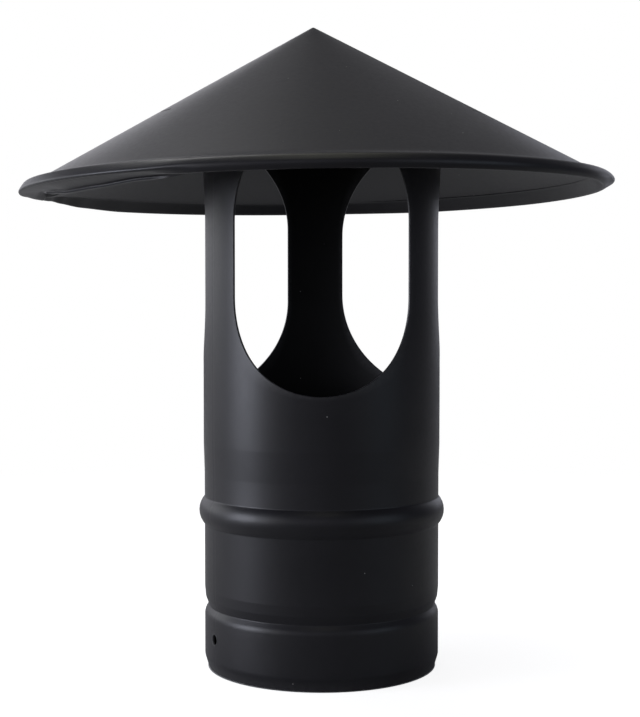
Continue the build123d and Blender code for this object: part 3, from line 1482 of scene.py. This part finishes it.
@dataclass
class TabWelds:
    """The weld beads at the tabs' lower ends and at their outer ends."""

    sizes: CapSizes
    finish: BlackEnamel
    half_length: float = 4.5
    steps: int = 40
    ripple: float = 0.14
    foot_size: float = 1.2
    reach_size: float = 1.15
    stand_off: float = 0.1
    hang: float = 0.35

    def sides(self) -> list[float]:
        """Places along a bead, counted from its middle."""
        return [
            mix(-self.half_length, self.half_length, step / self.steps)
            for step in range(self.steps + 1)
        ]

    def build_feet(self) -> bpy.types.Object:
        """Make the beads between the tabs and the pipe.

        Returns:
            The finished piece.
        """
        mesh = bmesh.new()
        bead = WeldBead(self.foot_size, ripple=self.ripple)
        radius, foot = self.sizes.body_radius + self.stand_off, self.sizes.tab_foot
        for side in Side:
            turns = [radians(side.value) + offset / radius for offset in self.sides()]
            line = [Vector((radius * sin(turn), -radius * cos(turn), foot)) for turn in turns]
            bead.add(mesh, line, away_from_axis)
        return finish_solid("tab_foot_beads", mesh, self.finish, ["tab_foot_welds"])

    def build_reaches(self) -> bpy.types.Object:
        """Make the beads between the tabs and the hat.

        Returns:
            The finished piece.
        """
        mesh = bmesh.new()
        bead = WeldBead(self.reach_size, ripple=self.ripple)
        for side in Side:
            turn = Matrix.Rotation(radians(side.value), 4, "Z")
            line = []
            for offset in self.sides():
                spot = turn @ Vector((offset, -self.sizes.tab_reach - self.stand_off, 0))
                spot.z = self.sizes.below_hat(spot.x, spot.y) - self.hang
                line.append(spot)
            bead.add(mesh, line, lambda point: Vector((0, 0, -1)))
        return finish_solid("tab_reach_beads", mesh, self.finish, ["tab_reach_welds"])


@dataclass(frozen=True)
class SoftBox:
    """One soft square lamp that faces the middle of the object, in metres and watts."""

    name: str
    azimuth: float
    elevation: float
    power: float
    colour: tuple[float, float, float] = (1.0, 1.0, 1.0)
    side: float = 0.6
    reach: float = 1.3
    aim_height: float = 0.12

    def build(self) -> None:
        """Hang the lamp."""
        data = bpy.data.lights.new(self.name, "AREA")
        data.shape = "SQUARE"
        data.size = self.side
        data.energy = self.power
        data.color = self.colour
        turn, rise = radians(self.azimuth), radians(self.elevation)
        way = Vector((sin(turn) * cos(rise), -cos(turn) * cos(rise), sin(rise)))
        lamp = bpy.data.objects.new(self.name, data)
        lamp.location = way * self.reach + Vector((0, 0, self.aim_height))
        lamp.rotation_mode = "QUATERNION"
        lamp.rotation_quaternion = (-way).to_track_quat("-Z", "Y")
        bpy.context.scene.collection.objects.link(lamp)


@dataclass
class Studio:
    """Floor, lamps, room and camera, in metres.

    The floor glows for the camera alone, so that it is as pale as the room and
    still holds the shadow. Under the pipe it doesn't, so the pipe stays dark inside.
    """

    lamps: tuple[SoftBox, ...] = (
        SoftBox("left_key", -76, 8, 8.8, (0.85, 0.88, 1.0)),
        SoftBox("left_front", -50, 10, 1.0),
        SoftBox("left_side", -118, 12, 1.9, (0.95, 0.97, 1.0)),
        SoftBox("left_back", -145, 12, 0.9, (0.92, 0.92, 1.0)),
        SoftBox("back", -170, 18, 1.4, (0.95, 0.94, 1.0)),
        SoftBox("right_back", 150, 12, 1.1, (0.86, 0.88, 1.0)),
        SoftBox("right_front", 60, 10, 0.8, (0.7, 0.85, 1.0)),
        SoftBox("front_left", -24, 10, 0.35, (0.9, 0.9, 1.0)),
        SoftBox("front_fill", 0, 12, 0.4, (0.9, 0.9, 1.0)),
        SoftBox("front_right", 36, 10, 0.4, (0.9, 0.92, 1.0)),
        SoftBox("high_front", 0, 60, 0.9, (1.0, 1.0, 0.8)),
        SoftBox("overhead", 0, 88, 1.4, (1.0, 1.0, 0.8)),
        SoftBox("high_left", -120, 62, 3.8),
        SoftBox("high_back", 160, 40, 0.1),
    )
    floor_half: float = 3.0
    floor_gap: float = 0.0003
    # Floor colours from front to back: the darker front is painted shade.
    floor_tones_front_shaded: Point = (0.26, 0.62)
    front_shade_span: Point = (-0.2, 0.0)
    floor_glow: float = 0.86
    floor_fade: Point = (0.12, 0.6)
    dark_inside: float = 0.039
    room: Colour = (0.088, 0.088, 0.106, 1.0)
    backdrop_level: float = 0.125
    backdrop_from: Point = (0.35, 0.75)
    lens: float = 70.3
    sensor: float = 36.0
    camera_place: tuple[float, float, float] = (-0.00056, -0.479, 0.1217)
    camera_tilt: float = 0.036

    def add_floor(self) -> None:
        """Lay the pale floor just under the object."""
        mesh = bmesh.new()
        bmesh.ops.create_grid(mesh, x_segments=2, y_segments=2, size=self.floor_half)
        bmesh.ops.translate(mesh, vec=(0, 0, -self.floor_gap), verts=mesh.verts)
        data = bpy.data.meshes.new("floor")
        mesh.to_mesh(data)
        mesh.free()
        data.materials.append(self.floor_material())
        floor = bpy.data.objects.new("floor", data)
        bpy.context.scene.collection.objects.link(floor)

    def floor_material(self) -> bpy.types.Material:
        """Paper that keeps the object's shadow and fades to white far off; its colour is darker
        towards the front as painted shade.

        Returns:
            The material.
        """
        material = bpy.data.materials.new("pale_floor")
        material.use_nodes = True
        bench = NodeBench(material.node_tree)
        place = bench.add("TexCoord").outputs["Object"]
        depth = bench.add("SeparateXYZ", {"Vector": place}).outputs["Y"]
        # Painted shade: the floor's colour is darker towards the front and stands in for shade
        # there, which the pipe's lower faces show in their reflections.
        front_shaded_tone = bench.remap(depth, self.front_shade_span, self.floor_tones_front_shaded, smooth=True)
        matt = bench.add("BsdfDiffuse", {"Color": front_shaded_tone}).outputs["BSDF"]
        seen = bench.add("LightPath").outputs["Is Camera Ray"]
        reach = bench.add("VectorMath", {0: place}, operation="LENGTH").outputs["Value"]
        outside = bench.maths("GREATER_THAN", reach, self.dark_inside)
        glow = bench.maths("MULTIPLY", bench.maths("MULTIPLY", seen, self.floor_glow), outside)
        near = bench.add("Emission", {"Strength": glow}).outputs["Emission"]
        lit = bench.add("AddShader", {0: matt, 1: near}).outputs["Shader"]
        white = bench.add("Emission").outputs["Emission"]
        away = bench.remap(reach, self.floor_fade, (0.0, 1.0), smooth=True)
        surface = bench.between(bench.maths("MULTIPLY", away, seen), lit, white)
        bench.add("OutputMaterial", {"Surface": surface})
        return material

    def add_room(self) -> None:
        """Set the room: dim all round, white to the camera and as a backdrop behind."""
        world = bpy.data.worlds.new("studio_room")
        bpy.context.scene.world = world
        world.use_nodes = True
        bench = NodeBench(world.node_tree)
        way = bench.add("TexCoord").outputs["Generated"]
        depth = bench.add("SeparateXYZ", {"Vector": way}).outputs["Y"]
        backdrop = bench.remap(depth, self.backdrop_from, (0.0, self.backdrop_level), smooth=True)
        seen = bench.add("LightPath").outputs
        mirrored = bench.maths("MULTIPLY", seen["Is Glossy Ray"], backdrop)
        straight = bench.maths("MAXIMUM", seen["Is Camera Ray"], seen["Is Transmission Ray"])
        room = bench.add("Background", {"Color": self.room}).outputs["Background"]
        white = bench.add("Background", {"Color": WHITE}).outputs["Background"]
        surface = bench.between(bench.maths("MAXIMUM", straight, mirrored), room, white)
        bench.add("OutputWorld", {"Surface": surface})

    def add_camera(self) -> None:
        """Stand the camera where the photograph was taken from."""
        data = bpy.data.cameras.new("camera")
        data.lens = self.lens
        data.sensor_width = self.sensor
        camera = bpy.data.objects.new("camera", data)
        camera.location = self.camera_place
        camera.rotation_euler = (pi / 2 - self.camera_tilt, 0, 0)
        bpy.context.scene.collection.objects.link(camera)
        bpy.context.scene.camera = camera

    def build(self) -> None:
        """Set everything up."""
        self.add_camera()
        self.add_floor()
        self.add_room()
        for lamp in self.lamps:
            lamp.build()
        bpy.context.scene.view_settings.view_transform = "Standard"


def main() -> None:
    """Build the rain cap and its studio."""
    logging.basicConfig(level=logging.INFO, format="%(relativeCreated)6.0f ms  %(message)s")
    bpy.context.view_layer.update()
    sizes = CapSizes()
    enamel, over_weld = BlackEnamel(), EnamelOverWeld()
    Studio().build()
    # The pipe's inner face gets the darker black, which is painted shade for the inside of the
    # pipe.
    pipe = RolledPipe(sizes, enamel, DullInsidePaintedShade())
    welds = TabWelds(sizes, over_weld)
    pieces = [
        pipe.build(),
        PipeSeamWeld(pipe, over_weld).build(),
        RainHat(sizes, enamel).build(),
        HatSeamSpots(sizes, over_weld).build(),
        *(CarrierTab(sizes, enamel, side).build() for side in Side),
        welds.build_feet(),
        welds.build_reaches(),
    ]
    for piece in pieces:
        log.info("%s: %d faces before its wall", piece.name, len(piece.data.polygons))


if __name__ == "__main__":
    main()
